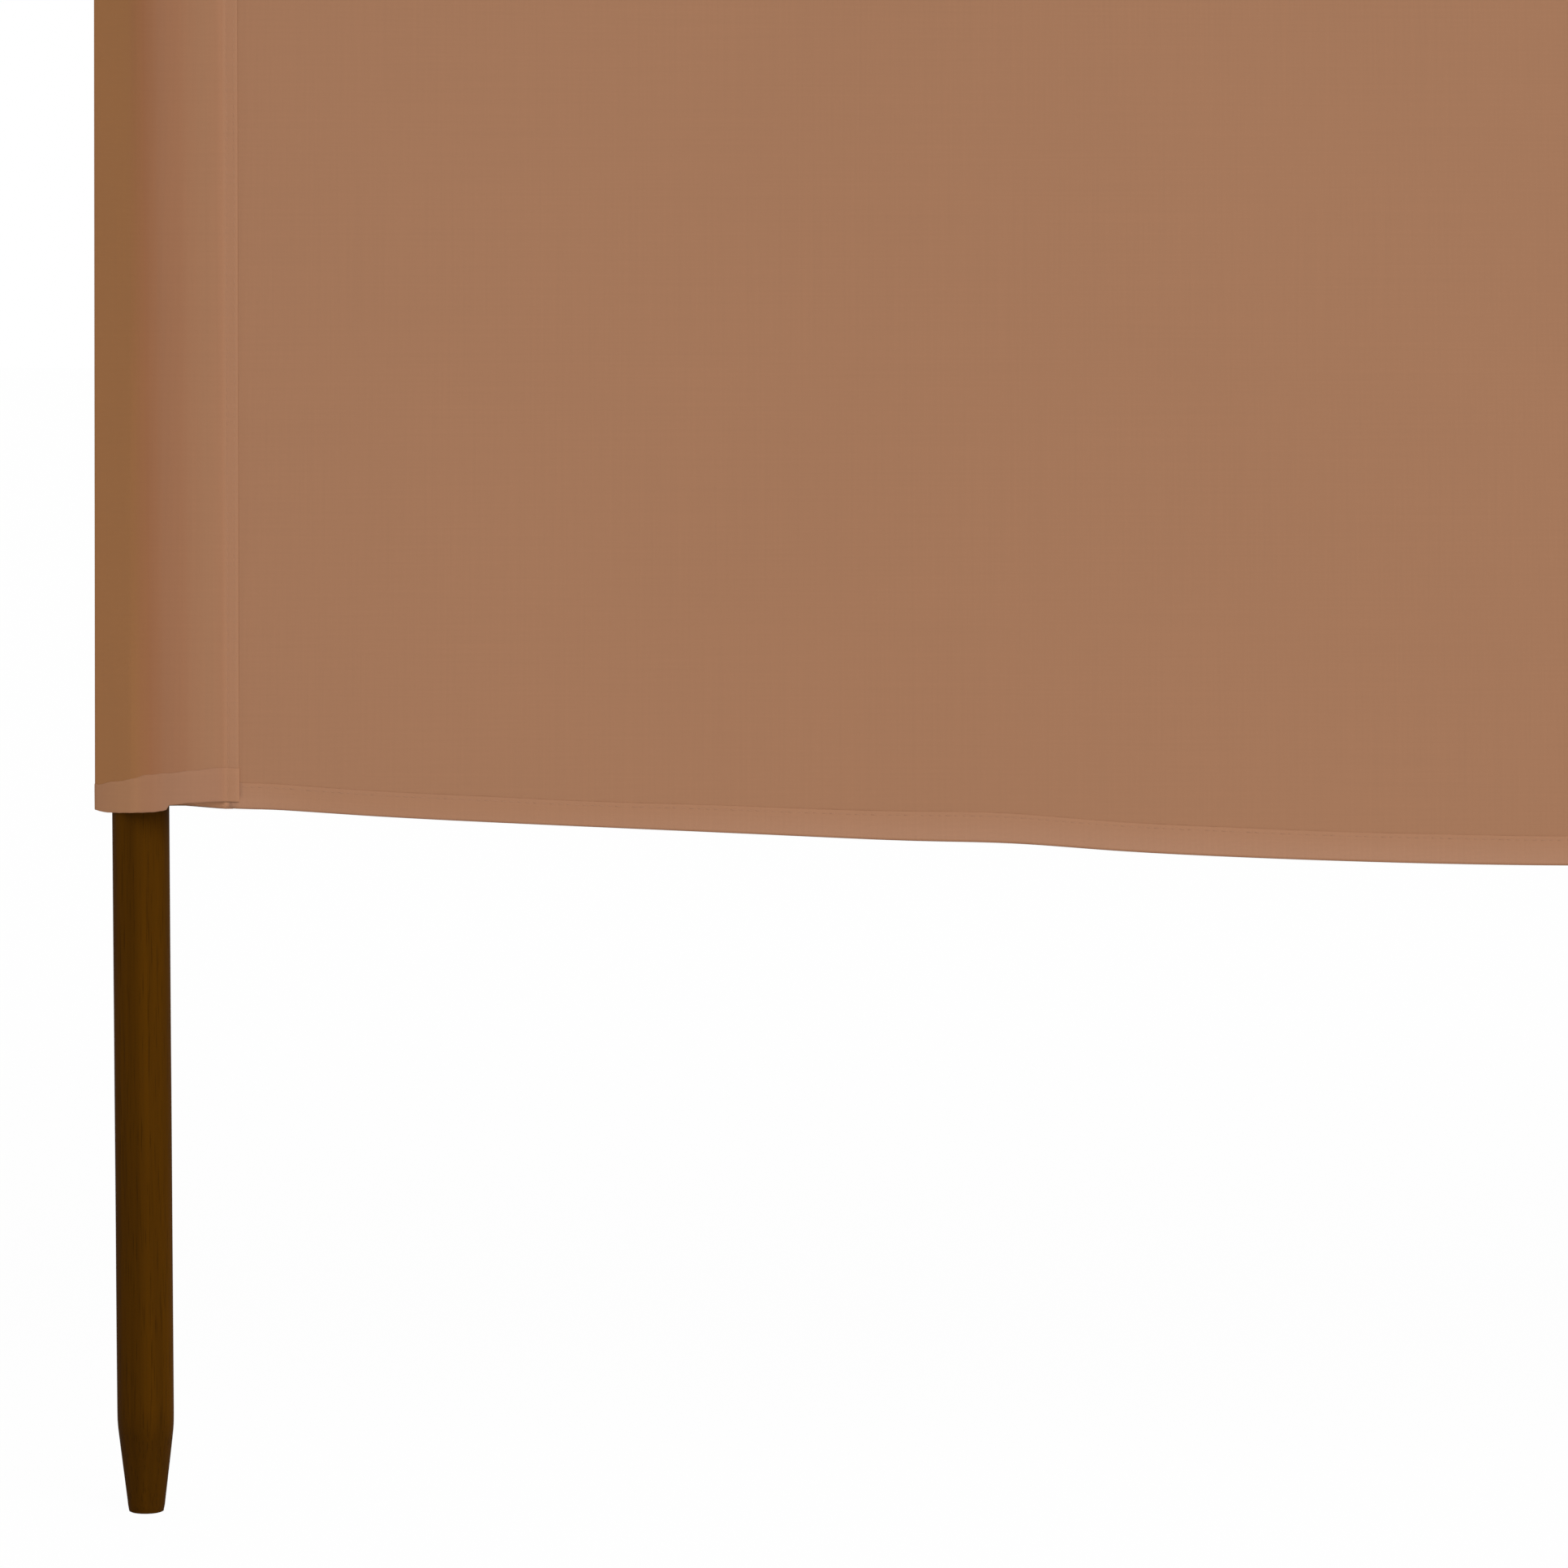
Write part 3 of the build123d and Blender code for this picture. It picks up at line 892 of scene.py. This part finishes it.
def middle_hem(x, line, walk, first, last, at_top):
    def place(column, row):
        out, up = mouth_section[row]
        share = 1.0 if at_top else 0.0
        at = column + first
        point, edge = middle_point(line, at, share, out, x)
        height = edge - up if at_top else edge + up
        behind = eased(mouth_through_and_shade, max(abs(point.x), 10.0)) if line is front_line else open_air
        return (x + point.x, point.y, height), ((walk[at] + x) * metres, height * metres), behind
    bm = lay_cloth(last - first, len(mouth_section) - 1, place)
    if at_top:
        bmesh.ops.reverse_faces(bm, faces=bm.faces)
    return bm

turned_columns = 5
mouths = ((False, "mouth_hem_low", "pocket_bottom_hem"), (True, "mouth_hem_top", "pocket_top_hem"))
for at_top, name, node in mouths:
    for number in range(1, bay_count + 2):
        x = (number - 1) * bay_pitch
        if number in (1, bay_count + 1):
            facing = 1.0 if number == 1 else -1.0
            hem = finish_piece(f"{name}_{number}", end_pocket_hem(x, facing, at_top), hem_brown,
                               "hem_cloth", f"{node}_{number}")
            thicken(hem, hem_weight)
            sewn_on(f"pocket_cloth_{number}", hem)
            continue
        back_hem = middle_hem(x, back_line, back_walk, 0, len(back_line) - 1, at_top)
        back = finish_piece(f"{name}_back_{number}", back_hem, hem_brown, "hem_cloth", f"{node}_{number}")
        thicken(back, hem_weight)
        sewn_on(f"pocket_back_{number}", back)
        strip_hem = middle_hem(x, front_line, front_walk, turned_columns,
                               len(front_line) - 1 - turned_columns, at_top)
        strip = finish_piece(f"{name}_strip_{number}", strip_hem, hem_brown, "hem_cloth",
                             f"{node}_{number}")
        thicken(strip, hem_weight)
        sewn_on(f"pocket_strip_{number}", strip)

# Sewing. Lock stitches of a matching thread: one row along every hem of the bays and two rows down each
# seam of the pockets, seen in front and behind.
stitch_pitch = 4.0
stitch_long = 3.3
thread = 0.42
thread_sunk = 0.06
over_hem = 0.33
hem_row_inset = 1.9
seam_offsets = (1.3, 4.7)
seam_row_low, flap_row_low, seam_row_top = 3.0, 6.5, 2.0

def make_thread_paint():
    paint, tree, shader, pattern = new_paint("brown thread", "plain weave", (0.372, 0.190, 0.108),
                                             roughness=0.62, bump_height=0.02)
    spot = tree.nodes.new("ShaderNodeTexCoord")
    tree.links.new(spot.outputs["Object"], pattern.inputs["Place"])
    shader.inputs["Specular IOR Level"].default_value = 0.25
    return paint

thread_brown = make_thread_paint()

def stitch_row(length):
    """A straight row of stitches along +X, each a slim lozenge of thread, and its length."""
    bm = bmesh.new()
    bmesh.ops.create_icosphere(bm, subdivisions=1, radius=0.5)
    bmesh.ops.rotate(bm, cent=(0, 0, 0), matrix=Matrix.Rotation(radians(90.0), 3, "Y"), verts=bm.verts)
    bmesh.ops.scale(bm, vec=(stitch_long, thread, 0.75 * thread), verts=bm.verts)
    bmesh.ops.translate(bm, vec=(0.5 * stitch_pitch, 0.0, 0.0), verts=bm.verts)
    mesh = bpy.data.meshes.new("one stitch")
    bm.to_mesh(mesh)
    bm.free()
    single = bpy.data.objects.new("one stitch", mesh)
    scene.collection.objects.link(single)
    repeat = single.modifiers.new("row", "ARRAY")
    repeat.count = max(int(length / stitch_pitch), 1)
    repeat.use_relative_offset = False
    repeat.use_constant_offset = True
    repeat.constant_offset_displace = (stitch_pitch, 0.0, 0.0)
    bpy.context.view_layer.update()
    row = bpy.data.meshes.new_from_object(single.evaluated_get(bpy.context.evaluated_depsgraph_get()))
    bpy.data.objects.remove(single)
    return row, max(corner.co.x for corner in row.vertices) + 0.5 * (stitch_pitch - stitch_long)

stitch_rows = {}

def sew(bm, length, follow):
    """Adds a row of stitches of that length; follow bends it: it gets how far along, aside and out."""
    count = int(length / stitch_pitch)
    if count not in stitch_rows:
        stitch_rows[count] = stitch_row(length)
    row, reach = stitch_rows[count]
    known = len(bm.verts)
    bm.from_mesh(row)
    bm.verts.ensure_lookup_table()
    for corner in bm.verts[known:]:
        corner.co = follow(corner.co.x / reach, corner.co.y, corner.co.z)

def sewing(name, rows):
    """The thread of several rows, as one piece."""
    bm = bmesh.new()
    for length, follow in rows:
        sew(bm, length, follow)
    for face in bm.faces:
        face.smooth = True
    bmesh.ops.recalc_face_normals(bm, faces=bm.faces)
    return finish_piece(name, bm, thread_brown, "hem_cloth")

def hem_row(bay, at_top, behind):
    """A row along a hem of a bay, close to the hem's inner edge."""
    start = (bay - 1) * bay_pitch
    def follow(along, aside, out):
        left, right = bay_ends(bay, cloth_top if at_top else cloth_low, flap_edge_x + 1.0)
        x = left + along * (right - left)
        up = hem_height * bay_hem_height(x) - hem_row_inset + aside
        height = hem_level(bay, x, up, at_top)
        lift = over_hem + 0.5 * hem_weight + out - thread_sunk
        return start + x, bay_depth(bay, x, height) + (lift if behind else -lift), height
    return bay_pitch - 2 * flap_edge_x, follow

for bay in range(1, bay_count + 1):
    rows = [hem_row(bay, at_top, behind) for at_top in (False, True) for behind in (False, True)]
    sewn_on(f"bay_cloth_{bay}", sewing(f"hem_sewing_{bay}", rows))

def seam_row(number, side, offset, behind):
    """A row down the pocket's seam; side is the way from the post, offset how far from the seam's edge."""
    x = (number - 1) * bay_pitch
    is_end = number in (1, bay_count + 1)
    low = cloth_low + (flap_row_low if is_end and not behind else seam_row_low)
    high = cloth_top - seam_row_top
    def follow(along, aside, out):
        height = low + along * (high - low)
        reach = seam_x + offset + (lean_at(height)[1] if is_end else 0.0)
        on_hem = 1.0 - fade(height - low, 13.0, 14.5) * fade(cloth_top - height, 13.0, 14.5)
        lift = 0.5 * cloth_weight + out - thread_sunk + on_hem * over_hem
        y = seam_y + lift if behind else strip_y - lift
        return x + side * (reach + aside), y, height
    return high - low, follow

for number in range(1, bay_count + 2):
    sides = (1.0,) if number == 1 else (-1.0,) if number == bay_count + 1 else (1.0, -1.0)
    rows = [seam_row(number, side, offset, behind)
            for side in sides for offset in seam_offsets for behind in (False, True)]
    pocket_name = f"pocket_cloth_{number}" if len(sides) == 1 else f"pocket_strip_{number}"
    sewn_on(pocket_name, sewing(f"seam_sewing_{number}", rows))
